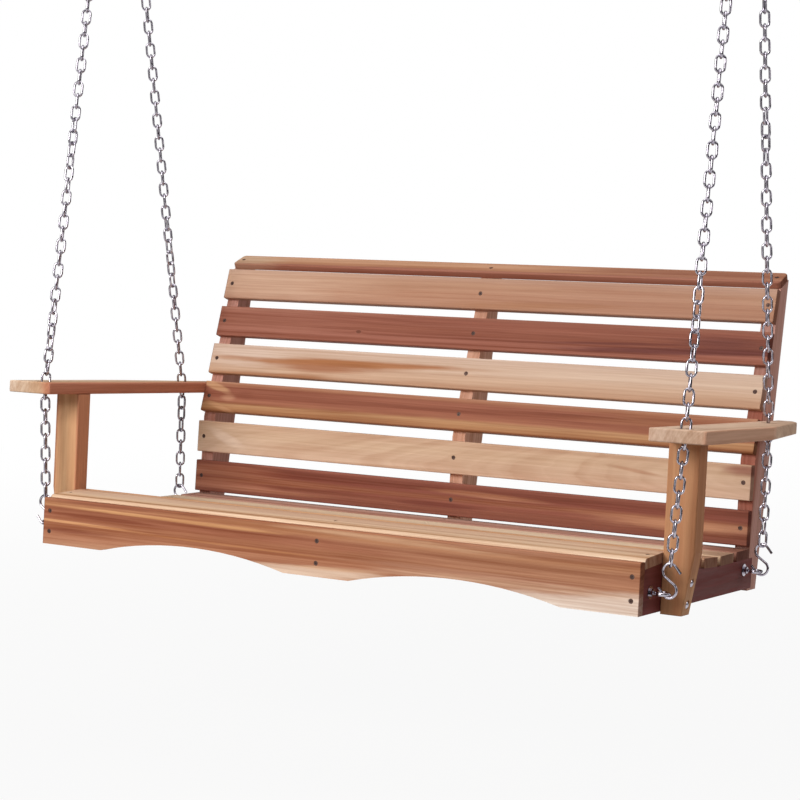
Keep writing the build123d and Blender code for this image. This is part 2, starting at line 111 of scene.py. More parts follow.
class Net:
    """Short hand for building the nodes of a tree."""

    def __init__(self, tree):
        self.tree = tree

    def put(self, kind, **settings):
        node = self.tree.nodes.new(kind)
        for key, value in settings.items():
            setattr(node, key, value)
        return node

    def join(self, value, socket):
        """Link a socket, or set a plain value."""
        if isinstance(value, bpy.types.NodeSocket):
            self.tree.links.new(value, socket)
        else:
            socket.default_value = value

    def fill(self, sockets, values):
        """Link or set several sockets by name."""
        for label, value in values.items():
            self.join(value, sockets[label])

    def maths(self, operation, *values):
        node = self.put("ShaderNodeMath", operation=operation)
        for value, socket in zip(values, node.inputs):
            self.join(value, socket)
        return node.outputs[0]

    def minus(self, a, b):
        return self.maths("SUBTRACT", a, b)

    def times(self, a, b):
        return self.maths("MULTIPLY", a, b)

    def total(self, first, *others):
        for other in others:
            first = self.maths("ADD", first, other)
        return first

    def sway(self, value, amount):
        """Move a value between 0 and 1 to lie about nothing, and scale it."""
        return self.times(self.minus(value, 0.5), amount)

    def reach(self, x, y):
        """Distance from the middle."""
        return self.maths("SQRT", self.total(self.times(x, x), self.times(y, y)))

    def vector(self, operation, *values):
        node = self.put("ShaderNodeVectorMath", operation=operation)
        for value, socket in zip(values, node.inputs):
            self.join(value, socket)
        return node.outputs["Value" if operation in {"LENGTH", "DOT_PRODUCT"} else "Vector"]

    def noise(self, place, scale=1.0, detail=2.0, rough=0.5, dims="3D"):
        """Noise in space, or along one value where dims is 1D."""
        node = self.put("ShaderNodeTexNoise", noise_dimensions=dims)
        self.fill(node.inputs, {"W" if dims == "1D" else "Vector": place, "Scale": scale,
                                "Detail": detail, "Roughness": rough})
        return node.outputs["Fac"]

    def stretched(self, place, repeats, detail=2.0, rough=0.5):
        """Noise that repeats so many times in a metre along each axis."""
        return self.noise(self.vector("MULTIPLY", place, repeats), 1.0, detail, rough)

    def blend(self, factor, a, b, mode="MIX"):
        node = self.put("ShaderNodeMix", data_type="RGBA", blend_type=mode)
        for value, socket in ((factor, 0), (a, 6), (b, 7)):
            self.join(value, node.inputs[socket])
        return node.outputs[2]

    def ramp(self, value, low, high, to_low=0.0, to_high=1.0):
        """Smooth step of a value from one range to another."""
        node = self.put("ShaderNodeMapRange", interpolation_type="SMOOTHSTEP")
        self.fill(node.inputs, {"Value": value, "From Min": low, "From Max": high,
                                "To Min": to_low, "To Max": to_high})
        return node.outputs[0]

    def parts(self, vector):
        node = self.put("ShaderNodeSeparateXYZ")
        self.join(vector, node.inputs[0])
        return node.outputs

    def whole(self, x, y, z):
        node = self.put("ShaderNodeCombineXYZ")
        for value, socket in zip((x, y, z), node.inputs):
            self.join(value, socket)
        return node.outputs[0]

    def shared(self, name, values):
        """Place a shared node group, built on first use, and give its inputs their values."""
        node = self.put("ShaderNodeGroup")
        node.node_tree = bpy.data.node_groups.get(name) or GROUPS[name](name)
        self.fill(node.inputs, values)
        return node.outputs

    def raise_surface(self, shader, height, strength, distance):
        """Feed a shader's normal from a height."""
        bump = self.put("ShaderNodeBump")
        self.fill(bump.inputs, {"Strength": strength, "Distance": distance, "Height": height})
        self.join(bump.outputs[0], shader.inputs["Normal"])

    def seen_plainly(self):
        """1 where the eye, a mirror or glass looks, 0 where the surface only lights others."""
        path = self.put("ShaderNodeLightPath").outputs
        seen = self.maths("MAXIMUM", path["Is Camera Ray"], path["Is Glossy Ray"])
        return self.maths("MAXIMUM", seen, path["Is Transmission Ray"])


def new_group(name, inputs, outputs):
    """An empty shader node group with named sockets: {name: (type, default)}."""
    group = bpy.data.node_groups.new(name, "ShaderNodeTree")
    for label, (kind, default) in inputs.items():
        socket = group.interface.new_socket(name=label, in_out="INPUT", socket_type="NodeSocket" + kind)
        if default is not None:
            socket.default_value = default
    for label, kind in outputs.items():
        group.interface.new_socket(name=label, in_out="OUTPUT", socket_type="NodeSocket" + kind)
    net = Net(group)
    return group, net, net.put("NodeGroupInput").outputs, net.put("NodeGroupOutput").inputs


def rgba(colour):
    return (*tuple(colour)[:3], 1.0)


# --- shared effects -------------------------------------------------------------------

# how often each pattern of the cedar repeats in a metre, along, across and through the board
SLOW_WANDER = (1.5, 7.0, 7.0)
QUICK_WANDER = (8.0, 55.0, 55.0)
RING_PATCHES = (3.0, 30.0, 30.0)
BROAD_STREAKS = (1.0, 45.0, 24.0)
FINE_STREAKS = (2.6, 170.0, 80.0)
FIBRES = (24.0, 900.0, 500.0)
LENS_RAGS = (7.0, 70.0, 30.0)
KNOT_RAGS = 90.0
YEARS = 150.0

# how far from its end a board begins and has fully become end grain, in metres
END_GRAIN_REACH = (-0.0012, -0.0004)
CEDAR_ROUGHNESS = 0.60
CEDAR_SHEEN = 0.14
CEDAR_BUMP = 0.6

# how strongly the grain changes red, green and blue, and the least that is left of them
GRAIN_PULL = (0.62, 0.92, 1.10)
DEEPEST_GRAIN = (0.2, 0.15, 0.1)

# the plating: dull patches that are partly painted dark reflections, fine drawing marks, and how far it is
# polished
CLOUD_SCALE = 160.0
GRIT_SCALE = 1400.0
DULL_AND_PAINTED_REFLECTION_PLATING = (0.62, 0.60, 0.68)
BRIGHT_POLISH = 0.10
DULL_POLISH = 0.55
PLATING_BUMP = 0.3
PLATING_DEPTH = 0.0001


def figure_group(name):
    """Where the bands, growth rings, streaks, fibres and sawn ends of a cedar board lie.

    Board runs along X, across Y and through Z from the middle of the board, in metres.
    """
    group, net, put_in, put_out = new_group(
        name,
        {"Board": ("Vector", None), "Seed": ("Float", 0.0), "Lay": ("Vector", None),
         "Wander": ("Float", 0.15), "Rings": ("Float", 0.5), "Streaks": ("Float", 0.5),
         "Ring Gap": ("Float", 0.004), "Pith": ("Vector", None), "Drift": ("Vector", None),
         "Knot": ("Vector", None), "Half Length": ("Float", 10.0)},
        {"Band": "Float", "Grain": "Float", "Knot": "Float", "Ends": "Float",
         "Roughness": "Float", "Height": "Float"})
    along, across, through = net.parts(put_in["Board"])
    seed = net.times(put_in["Seed"], 7.31)
    shifted = net.vector("ADD", put_in["Board"], net.whole(seed, seed, seed))

    # a knot, longer along the board than across, pushes the rings aside
    knot_x, knot_y, knot_radius = net.parts(put_in["Knot"])
    away = net.reach(net.times(net.minus(along, knot_x), 0.6), net.minus(across, knot_y))
    ragged = net.sway(net.noise(shifted, KNOT_RAGS), 0.9)
    share = net.total(net.maths("DIVIDE", away, knot_radius), ragged)
    bulge = net.times(net.maths("EXPONENT", net.times(net.times(share, share), -0.18)), knot_radius)

    # bands of colour wander along the board
    slow = net.stretched(shifted, SLOW_WANDER)
    quick = net.stretched(shifted, QUICK_WANDER)
    band = net.total(net.vector("DOT_PRODUCT", put_in["Board"], put_in["Lay"]), 0.5,
                     net.sway(slow, put_in["Wander"]), net.sway(quick, 0.10), net.times(bulge, 6.0))

    # growth rings round a pith line that drifts away along the board
    pith_x, pith_y, pith_z = net.parts(put_in["Pith"])
    _, drift_y, drift_z = net.parts(put_in["Drift"])
    from_peak = net.minus(along, pith_x)
    side = net.minus(net.minus(across, pith_y), net.times(from_peak, drift_y))
    depth = net.minus(net.minus(through, pith_z), net.times(from_peak, drift_z))
    waver = net.total(net.sway(slow, 0.020), net.sway(quick, 0.0024))
    radius = net.total(net.reach(side, depth), waver, bulge)
    season = net.maths("FRACT", net.maths("DIVIDE", radius, put_in["Ring Gap"]))
    late = net.times(net.maths("POWER", season, 2.0), net.ramp(season, 0.86, 1.0, 1.0, 0.0))
    late = net.times(late, net.ramp(net.stretched(shifted, RING_PATCHES), 0.35, 0.65, 0.35, 1.0))
    year = net.noise(net.total(net.times(radius, YEARS), seed), 1.0, 3.0, 0.6, dims="1D")

    # long streaks and fibres along the board
    broad = net.ramp(net.stretched(shifted, BROAD_STREAKS, 3.0, 0.6), 0.36, 0.64)
    streak = net.ramp(net.stretched(shifted, FINE_STREAKS, 3.0, 0.65), 0.34, 0.66)
    fibre = net.stretched(shifted, FIBRES, 2.0, 0.6)
    flow = net.total(net.sway(broad, 0.6), net.sway(streak, 0.5))
    lines = net.minus(net.sway(net.ramp(year, 0.33, 0.67), 0.65), net.times(net.minus(late, 0.12), 0.5))
    grain = net.total(net.times(flow, put_in["Streaks"]), net.times(lines, put_in["Rings"]),
                      net.sway(fibre, 0.22))

    ends = net.ramp(net.minus(net.maths("ABSOLUTE", along), put_in["Half Length"]), *END_GRAIN_REACH)
    gloss = net.total(CEDAR_ROUGHNESS, net.sway(fibre, 0.24), net.sway(streak, 0.12), net.times(ends, 0.25))
    height = net.total(net.times(late, 0.4), net.times(fibre, 0.6), net.times(streak, 0.4))
    net.fill(put_out, {"Band": band, "Grain": grain, "Knot": net.ramp(share, 0.8, 1.3, 1.0, 0.0),
                       "Ends": ends, "Roughness": gloss, "Height": height})
    return group


def stain_and_painted_light_group(name):
    """A long lens of stain, heartwood or sapwood on a board, with a feathered outline; a few lenses are painted
    shade and one is painted light instead.
    """
    group, net, put_in, put_out = new_group(
        name,
        {"Board": ("Vector", None), "Seed": ("Float", 0.0), "Spot": ("Vector", None),
         "Reach": ("Vector", None), "Tilt": ("Float", 0.0), "Feather": ("Float", 0.6)},
        {"Mask": "Float"})
    seed = net.times(put_in["Seed"], 3.17)
    along, across, _ = net.parts(net.vector("SUBTRACT", put_in["Board"], put_in["Spot"]))
    across = net.minus(across, net.times(along, put_in["Tilt"]))
    reach_x, reach_y, _ = net.parts(put_in["Reach"])
    share = net.reach(net.maths("DIVIDE", along, reach_x), net.maths("DIVIDE", across, reach_y))
    place = net.vector("ADD", put_in["Board"], net.whole(seed, seed, seed))
    share = net.total(share, net.sway(net.stretched(place, LENS_RAGS, 3.0, 0.6), 0.9))
    inner = net.minus(1.0, put_in["Feather"])
    net.fill(put_out, {"Mask": net.ramp(share, inner, 1.05, 1.0, 0.0)})
    return group


def tone_group(name):
    """Deepens a board's ground colour by its grain, and darkens its sawn ends and knots."""
    group, net, put_in, put_out = new_group(
        name,
        {"Ground": ("Color", (0.5, 0.3, 0.2, 1)), "Grain": ("Float", 0.0), "Ends": ("Float", 0.0),
         "End Grain": ("Color", (0.8, 0.7, 0.6, 1)), "End Depth": ("Float", 1.0),
         "Knot Mask": ("Float", 0.0), "Knot": ("Color", (0.09, 0.03, 0.018, 1))},
        {"Color": "Color"})
    pull = net.vector("SCALE", GRAIN_PULL)
    net.join(put_in["Grain"], pull.node.inputs["Scale"])
    light = net.vector("MAXIMUM", net.vector("ADD", pull, (1.0, 1.0, 1.0)), DEEPEST_GRAIN)
    colour = net.vector("MULTIPLY", put_in["Ground"], light)
    sawn = net.blend(1.0, colour, put_in["End Grain"], "MULTIPLY")
    colour = net.blend(net.times(put_in["Ends"], put_in["End Depth"]), colour, sawn)
    colour = net.blend(net.times(put_in["Knot Mask"], 0.6), colour, put_in["Knot"])
    net.fill(put_out, {"Color": colour})
    return group


def plating_group(name):
    """Uneven bright plating: spangle, dull patches that are partly painted dark reflections, and fine drawing
    marks.
    """
    group, net, put_in, put_out = new_group(
        name,
        {"Place": ("Vector", None), "Metal": ("Color", (0.5, 0.5, 0.52, 1)), "Polish": ("Float", 0.25)},
        {"Color": "Color", "Roughness": "Float", "Height": "Float"})
    # the cloud's darker patches stand for uneven plating and also for painted dark reflections
    cloud = net.ramp(net.noise(put_in["Place"], CLOUD_SCALE, 3.0, 0.6), 0.35, 0.65)
    grit = net.noise(put_in["Place"], GRIT_SCALE, 2.0, 0.6)
    dull = net.vector("MULTIPLY", put_in["Metal"], DULL_AND_PAINTED_REFLECTION_PLATING)
    shade = net.blend(net.times(cloud, 0.6), put_in["Metal"], dull)
    marks = net.ramp(grit, 0.3, 0.7, 0.85, 1.15)
    net.fill(put_out, {"Color": net.vector("MULTIPLY", shade, net.whole(marks, marks, marks)),
                       "Roughness": net.total(put_in["Polish"], net.times(cloud, 0.12)),
                       "Height": net.times(grit, 0.4)})
    return group


GROUPS = {"Cedar Figure": figure_group, "Cedar Stain And Painted Light": stain_and_painted_light_group, "Cedar Tone": tone_group,
          "Plating": plating_group}


# --- materials ------------------------------------------------------------------------


def paint(code):
    """A colour from its six-figure code."""
    parts = [int(code[at:at + 2], 16) / 255 for at in (0, 2, 4)]
    return rgba([part / 12.92 if part < 0.04045 else ((part + 0.055) / 1.055) ** 2.4 for part in parts])


def blank_material(name):
    """A new material with its shader and nothing else."""
    material = bpy.data.materials.new(name)
    material.use_nodes = True
    material.node_tree.nodes.clear()
    net = Net(material.node_tree)
    shader = net.put("ShaderNodeBsdfPrincipled")
    net.join(shader.outputs[0], net.put("ShaderNodeOutputMaterial").inputs["Surface"])
    return material, net, shader


def cedar(node, turn, half_length, ground, width, stains_and_painted_light=(), wander=0.2, rings=0.35, streaks=0.5,
          pith=(0.0, -0.10, -0.06), drift=(0.0, 0.0, 0.01), slant=0.0, through=0.0,
          knot=(9.0, 9.0, 0.001), ends=1.0, seed=0.0):
    """Material of one board, from the turn that lays it along X, and its grain.

    ground lists the colours met across the board, as place from 0 to 1 and colour code; on the front seat slat
    the palest, at the front edge, are a painted highlight. stains_and_painted_light lists middle along and
    across, reach along and across, tilt, feather, colour code and strength; most are stains, a few are painted
    shade and one is painted light.
    """
    wood = bpy.context.scene.swing_wood
    material, net, shader = blank_material("cedar_" + node)
    place = net.put("ShaderNodeTexCoord").outputs["Object"]
    low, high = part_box(node)
    lay = net.put("ShaderNodeMapping", vector_type="POINT")
    net.fill(lay.inputs, {"Vector": net.vector("SUBTRACT", place, tuple((low + high) / 2)),
                          "Rotation": [math.radians(angle) for angle in turn]})
    board = lay.outputs[0]
    figure = net.shared("Cedar Figure", {
        "Board": board, "Seed": seed, "Lay": (slant, 1 / width, through), "Wander": wander,
        "Rings": rings, "Streaks": streaks, "Ring Gap": wood.ring_gap, "Pith": pith, "Drift": drift,
        "Knot": knot, "Half Length": half_length})

    ramp = net.put("ShaderNodeValToRGB")
    ramp.color_ramp.interpolation = "EASE"
    net.join(figure["Band"], ramp.inputs[0])
    shades = ramp.color_ramp.elements
    for number, (spot, code) in enumerate(ground):
        shade = shades[number] if number < 2 else shades.new(spot)
        shade.position, shade.color = spot, paint(code)
    colour = ramp.outputs[0]
    for number, (spot_x, spot_y, reach_x, reach_y, tilt, feather, code, strength) in enumerate(stains_and_painted_light):
        mask = net.shared("Cedar Stain And Painted Light", {
            "Board": board, "Seed": seed + number, "Spot": (spot_x, spot_y, 0.0),
            "Reach": (reach_x, reach_y, 1.0), "Tilt": tilt, "Feather": feather})["Mask"]
        colour = net.blend(net.times(mask, strength), colour, paint(code))

    tone = net.shared("Cedar Tone", {
        "Ground": colour, "Grain": figure["Grain"], "Ends": figure["Ends"],
        "End Grain": rgba(wood.end_grain), "End Depth": ends, "Knot Mask": figure["Knot"],
        "Knot": rgba(wood.knot)})
    net.fill(shader.inputs, {"Base Color": tone["Color"], "Roughness": figure["Roughness"],
                             "Specular IOR Level": CEDAR_SHEEN})
    net.raise_surface(shader, figure["Height"], CEDAR_BUMP, wood.grain_depth)
    return material


def steel(name, colour, polish):
    """Material of plated steel, made once."""
    known = bpy.data.materials.get(name)
    if known:
        return known
    material, net, shader = blank_material(name)
    plating = net.shared("Plating", {"Place": net.put("ShaderNodeTexCoord").outputs["Object"],
                                     "Metal": rgba(colour), "Polish": polish})
    net.fill(shader.inputs, {"Base Color": plating["Color"], "Roughness": plating["Roughness"],
                             "Metallic": 1.0})
    net.raise_surface(shader, plating["Height"], PLATING_BUMP, PLATING_DEPTH)
    return material


def bright_zinc():
    """The plating of the chains, hooks, rings and bolts."""
    return steel("bright_zinc", bpy.context.scene.swing_steel.zinc, BRIGHT_POLISH)


def dress(node, material):
    """Give a CAD node its material."""
    mesh = NODES[node].data
    mesh.materials.clear()
    mesh.materials.append(material)


# --- boards ---------------------------------------------------------------------------


def lay_flat(slope):
    """Turn for a board that lies along X and slopes from front to back."""
    return (LEAN - slope, 0.0, 0.0)


def lay_on_edge(slope):
    """Turn for a board that lies along X with its face to the front."""
    return (LEAN - slope - 90.0, 0.0, 0.0)


def lay_upright(slope):
    """Turn for a board whose length stands up and leans back."""
    return (LEAN - slope, 90.0, 0.0)


def lay_back(slope):
    """Turn for a board whose length runs from front to back."""
    return (LEAN - slope, 0.0, -90.0)


# half lengths of the boards that don't lie along X, in metres
RAIL_REACH = 0.26
UPRIGHT_REACH = 0.3
ARMREST_REACH = 0.31
POST_REACH = 0.143

# widths of the boards, and of the parts whose colours run through them and not across, in metres
BACK_SLAT_WIDTH = 0.0645
RAIL_WIDTH = 0.03
UPRIGHT_WIDTH = 0.09
ARMREST_WIDTH = 0.099
NO_WIDTH = 10.0
RAIL_THROUGH = 8.0
POST_THROUGH = 14.0

SEAT = {
    "seat_slat_1": dict(
        width=0.089, wander=0.06, rings=0.3, seed=1.0,
        # the two palest colours, at the front edge, are a painted highlight on the rounded nose
        ground=((0.0, "E9CCB0"), (0.08, "E2BFA0"), (0.15, "BE8E68"), (0.27, "D9B594"), (0.6, "D3AF94"),
                (1.0, "CBA285")),
        stains_and_painted_light=((0.4, 0.0, 0.35, 0.05, 0.0, 0.8, "DCBC9E", 0.5),
                (-0.2, -0.026, 0.5, 0.003, 0.002, 0.7, "B4845F", 0.7))),
    "seat_slat_2": dict(
        width=0.065, seed=2.0,
        ground=((0.0, "BC8D69"), (0.5, "C99E7C"), (1.0, "C0906C"))),
    "seat_slat_3": dict(
        width=0.065, seed=3.0,
        ground=((0.0, "B88260"), (0.5, "C59872"), (1.0, "B27C58")),
        # painted shade of the right armrest, darker at the right end
        stains_and_painted_light=((0.6, 0.0, 0.08, 0.06, 0.0, 0.8, "A06E52", 0.5),)),
    "seat_slat_4": dict(
        width=0.065, seed=4.0,
        ground=((0.0, "C9A082"), (0.5, "D5B498"), (1.0, "CCA68A")),
        # painted shade of the right armrest, darker at the right end
        stains_and_painted_light=((0.6, 0.0, 0.08, 0.06, 0.0, 0.8, "9A6A50", 0.6),)),
    "seat_slat_5": dict(
        width=0.065, rings=0.2, streaks=0.35, seed=5.0,
        ground=((0.0, "DCBE9E"), (0.5, "E4CCB0"), (1.0, "DCC0A2")),
        # painted shade of the right armrest, darker at the right end
        stains_and_painted_light=((0.6, 0.0, 0.08, 0.06, 0.0, 0.8, "8E5E48", 0.65),)),
    "seat_slat_6": dict(
        width=0.065, seed=6.0,
        ground=((0.0, "AE8070"), (0.5, "BC9282"), (1.0, "BC9484")),
        # painted shade of the right armrest, darker at the right end
        stains_and_painted_light=((0.6, 0.0, 0.09, 0.06, 0.0, 0.8, "7E4E3E", 0.7),)),
}
BACK = {
    "back_slat_1": dict(
        slant=0.06, wander=0.35, rings=0.2, streaks=0.3, seed=11.0,
        ground=((0.0, "AF8169"), (0.35, "B4856B"), (0.7, "B98E74"), (1.0, "BA9480")),
        stains_and_painted_light=((-0.5, 0.0, 0.32, 0.05, 0.0, 0.9, "C9A48C", 0.75),
                (0.35, -0.01, 0.45, 0.05, 0.0, 0.9, "AE7F68", 0.6),
                (0.1, -0.022, 0.26, 0.01, 0.02, 0.8, "A47254", 0.8),
                (0.28, 0.014, 0.16, 0.008, -0.04, 0.8, "B08068", 0.6))),
    "back_slat_2": dict(
        wander=0.3, rings=0.55, streaks=0.55, pith=(0.6, 0.05, -0.012), drift=(0.0, 0.004, 0.012),
        knot=(-0.262, -0.009, 0.003), seed=12.0,
        ground=((0.0, "9C6250"), (0.2, "985E4D"), (0.32, "8E5544"), (0.5, "8C5341"), (0.8, "8B5241"),
                (1.0, "9C6654")),
        stains_and_painted_light=((0.46, -0.014, 0.36, 0.009, 0.025, 0.7, "66352F", 0.9),
                (0.52, 0.004, 0.14, 0.022, 0.0, 0.9, "714039", 0.75),
                (0.3, -0.006, 0.22, 0.004, 0.03, 0.7, "6E3C34", 0.8),
                (-0.48, 0.0, 0.26, 0.04, 0.0, 0.9, "A06856", 0.5))),
    "back_slat_3": dict(
        wander=0.25, rings=0.2, streaks=0.32, seed=13.0,
        ground=((0.0, "C0977B"), (0.25, "C8A48A"), (0.6, "CFB19B"), (1.0, "D0B4A1")),
        stains_and_painted_light=((-0.52, 0.01, 0.18, 0.034, 0.0, 0.9, "DEC6B6", 0.85),
                (-0.27, 0.004, 0.37, 0.009, 0.018, 0.6, "B07A56", 1.0),
                (-0.3, 0.002, 0.2, 0.015, 0.01, 0.8, "AA7048", 0.9),
                (-0.27, 0.001, 0.1, 0.005, 0.01, 0.8, "935A34", 0.6),
                (-0.33, -0.009, 0.17, 0.014, 0.01, 0.8, "A66E4E", 0.85),
                (-0.55, 0.004, 0.1, 0.007, 0.0, 0.8, "BA8C6E", 0.75),
                (-0.46, -0.03, 0.26, 0.006, 0.0, 0.7, "A87656", 0.95),
                (-0.37, -0.026, 0.1, 0.007, 0.02, 0.8, "A26C48", 0.6))),
    "back_slat_4": dict(
        wander=0.16, rings=0.35, streaks=0.75, seed=14.0,
        ground=((0.0, "9C6846"), (0.1, "AA7852"), (0.24, "B3855F"), (0.37, "9A6048"), (0.52, "8A503C"),
                (0.8, "905642"), (0.92, "A06A50"), (1.0, "AE7C62")),
        stains_and_painted_light=((0.45, 0.012, 0.28, 0.02, 0.0, 0.9, "A06A4C", 0.7),
                (-0.585, 0.022, 0.05, 0.01, -0.3, 0.5, "BC8C68", 0.9),
                (-0.545, -0.001, 0.025, 0.01, 0.0, 0.7, "B07C60", 0.7),
                (-0.565, -0.022, 0.05, 0.007, -0.3, 0.5, "BC8C66", 0.8),
                (-0.505, 0.006, 0.03, 0.012, 0.0, 0.7, "844B38", 0.7))),
    "back_slat_5": dict(
        slant=-0.05, wander=0.4, rings=0.24, streaks=0.3, pith=(0.25, 0.0, -0.11), drift=(0.0, 0.05, 0.05),
        seed=15.0,
        ground=((0.0, "D6B39A"), (0.3, "D3B298"), (0.7, "CFAE92"), (1.0, "CEAB90")),
        stains_and_painted_light=((-0.54, 0.0, 0.05, 0.014, -0.35, 0.6, "E2C6B0", 0.85),
                (0.39, 0.004, 0.08, 0.005, -0.12, 0.8, "B5866A", 0.7),
                # painted shade of the right armrest at the top of the right end
                (0.6, 0.022, 0.06, 0.014, 0.0, 0.8, "93584A", 0.75),
                (-0.1, -0.028, 0.3, 0.004, 0.01, 0.8, "BE967A", 0.6))),
    "back_slat_6": dict(
        wander=0.45, rings=0.34, streaks=0.7, seed=16.0,
        ground=((0.0, "804B3C"), (0.25, "88513F"), (0.42, "8A5040"), (0.55, "9C644C"), (0.72, "8A4F41"),
                (0.88, "804839"), (1.0, "864E3F")),
        stains_and_painted_light=((0.07, 0.014, 0.15, 0.007, -0.02, 0.7, "B07A5E", 0.95),
                (-0.4, -0.003, 0.26, 0.006, 0.01, 0.7, "A26A50", 0.85),
                (0.47, -0.006, 0.22, 0.015, 0.0, 0.8, "B98464", 0.95),
                (-0.54, -0.014, 0.16, 0.017, 0.0, 0.8, "B27860", 0.85),
                (-0.02, -0.013, 0.13, 0.008, 0.0, 0.7, "743C30", 0.85),
                # painted light at the upper left end, lifting the left armrest's cast shadow
                (-0.52, 0.018, 0.16, 0.016, 0.0, 0.9, "AA7058", 0.85),
                (-0.42, -0.02, 0.2, 0.005, 0.0, 0.8, "A67056", 0.7))),
}
CAP = dict(
    width=0.05, seed=17.0,
    ground=((0.0, "975E4C"), (0.12, "A36C58"), (0.3, "B88566"), (0.7, "BE8E70"), (1.0, "B88466")),
    stains_and_painted_light=((-0.58, 0.0, 0.12, 0.04, 0.0, 0.9, "C6A488", 0.9),
            (0.45, 0.0, 0.42, 0.05, 0.0, 0.9, "98624E", 0.8)))
APRON = dict(
    width=0.087, slant=0.03, wander=0.25, rings=0.34, streaks=0.7, pith=(0.0, -0.16, -0.05), seed=21.0,
    ground=((0.0, "BE8A6C"), (0.2, "B87E60"), (0.36, "B37859"), (0.5, "AE7354"), (0.62, "A96B50"),
            (0.74, "9E6248"), (0.86, "B57C58"), (1.0, "A86E50")),
    stains_and_painted_light=((0.42, 0.012, 0.5, 0.04, 0.0, 0.9, "B37F60", 0.7),
            (0.15, 0.036, 0.3, 0.007, -0.01, 0.7, "D0A280", 0.95),
            (-0.33, 0.028, 0.34, 0.0045, -0.012, 0.6, "D0986A", 0.95),
            (-0.53, 0.001, 0.18, 0.0035, -0.02, 0.6, "DCA274", 0.95),
            (-0.47, 0.015, 0.22, 0.005, -0.012, 0.7, "84462F", 0.85),
            (-0.44, 0.041, 0.28, 0.007, 0.0, 0.8, "925740", 0.9),
            (0.42, 0.04, 0.26, 0.008, 0.0, 0.8, "BC886C", 0.8),
            (0.32, -0.006, 0.35, 0.008, 0.0, 0.9, "BE8C72", 0.8),
            (-0.2, -0.006, 0.25, 0.003, -0.01, 0.7, "C98E64", 0.8),
            (0.6, -0.032, 0.36, 0.027, 0.03, 0.5, "F0DACA", 1.0),
            (0.37, -0.016, 0.36, 0.01, 0.01, 0.8, "CFA488", 0.9),
            (0.0, -0.034, 0.18, 0.013, 0.02, 0.6, "E4C4AC", 0.95),
            (0.04, -0.026, 0.12, 0.005, 0.03, 0.7, "DDB292", 0.85),
            (-0.54, -0.015, 0.14, 0.008, 0.0, 0.8, "8C4E3A", 0.7)))
RAIL_GROUND = ((0.0, "703632"), (0.5, "783C36"), (1.0, "703632"))
UPRIGHT_GROUNDS = {
    "left": ((0.0, "C68E7E"), (1.0, "BA8474")),
    "centre": ((0.0, "DCA88E"), (1.0, "D0A088")),
    "right": ((0.0, "A96755"), (0.15, "C29082"), (1.0, "BC8C7E")),
}
ARMREST_GROUNDS = {
    "left": ((0.0, "D08C72"), (0.06, "CA8A6A"), (0.3, "D4AE8C"), (0.7, "E6CBB0"), (1.0, "E8CFB8")),
    "right": ((0.0, "DBAC90"), (0.08, "DAB89E"), (0.3, "D0AE94"), (0.7, "D8B8A0"), (1.0, "E2C2AA")),
}
POST_GROUNDS = {
    "left": ((0.0, "CC896A"), (0.14, "D09270"), (0.22, "D9A67C"), (0.6, "DFB186"), (0.8, "D4A078"),
             (0.88, "B87C5C")),
    "right": ((0.0, "B87A56"), (0.15, "BC825C"), (0.3, "CE9A72"), (0.5, "C08660"), (0.65, "CC9870"),
              (1.0, "C48E68")),
}
RAIL_SEED = 22.0
UPRIGHT_SEED = 25.0
ARMREST_SEED = 31.0
POST_SEED = 33.0


def dress_along(node, turn, **look):
    """Give a board that lies along X its cedar."""
    low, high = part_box(node)
    dress(node, cedar(node, turn, (high.x - low.x) / 2, **look))


class PORCH_OT_seat_slats(bpy.types.Operator):
    """Give the seat slats their cedar"""

    bl_idname = "porch_swing.seat_slats"
    bl_label = "Seat slats"

    def execute(self, context):
        for (node, look), rise in zip(SEAT.items(), SEAT_RISES):
            dress_along(node, lay_flat(rise), **look)
        return {"FINISHED"}


class PORCH_OT_back_slats(bpy.types.Operator):
    """Give the back slats and the top cap their cedar"""

    bl_idname = "porch_swing.back_slats"
    bl_label = "Back slats and cap"

    def execute(self, context):
        for number, (node, look) in enumerate(BACK.items()):
            slope = UPPER_BACK if number < UPPER_SLATS else LOWER_BACK
            dress_along(node, lay_on_edge(slope), width=BACK_SLAT_WIDTH, **look)
        dress_along("top_cap", lay_flat(CAP_SLOPE), **CAP)
        return {"FINISHED"}


class PORCH_OT_frame(bpy.types.Operator):
    """Give the apron, the rails and the uprights their cedar"""

    bl_idname = "porch_swing.frame"
    bl_label = "Apron, rails and uprights"

    def execute(self, context):
        dress_along("front_apron", lay_on_edge(0.0), **APRON)
        for number, (side, ground) in enumerate(UPRIGHT_GROUNDS.items()):
            node = "seat_rail_" + side
            dress(node, cedar(node, lay_back(0.0), RAIL_REACH, ground=RAIL_GROUND, width=RAIL_WIDTH,
                              through=RAIL_THROUGH, seed=RAIL_SEED + number))
            node = "back_upright_" + side
            dress(node, cedar(node, lay_upright(REAR_EDGE), UPRIGHT_REACH, ground=ground,
                              width=UPRIGHT_WIDTH, seed=UPRIGHT_SEED + number))
        return {"FINISHED"}


class PORCH_OT_arms(bpy.types.Operator):
    """Give the armrests and their posts their cedar"""

    bl_idname = "porch_swing.arms"
    bl_label = "Armrests and posts"

    def execute(self, context):
        for number, side in enumerate(ARMREST_GROUNDS):
            node = "armrest_" + side
            dress(node, cedar(node, lay_back(0.0), ARMREST_REACH, ground=ARMREST_GROUNDS[side],
                              width=ARMREST_WIDTH, wander=0.08, rings=0.25, streaks=0.4, ends=0.3,
                              seed=ARMREST_SEED + number))
            node = "arm_post_" + side
            dress(node, cedar(node, lay_upright(0.0), POST_REACH, ground=POST_GROUNDS[side],
                              width=NO_WIDTH, through=POST_THROUGH, wander=0.10, rings=0.25,
                              streaks=0.3, pith=(0.0, 0.06, -0.05), seed=POST_SEED + number))
        return {"FINISHED"}


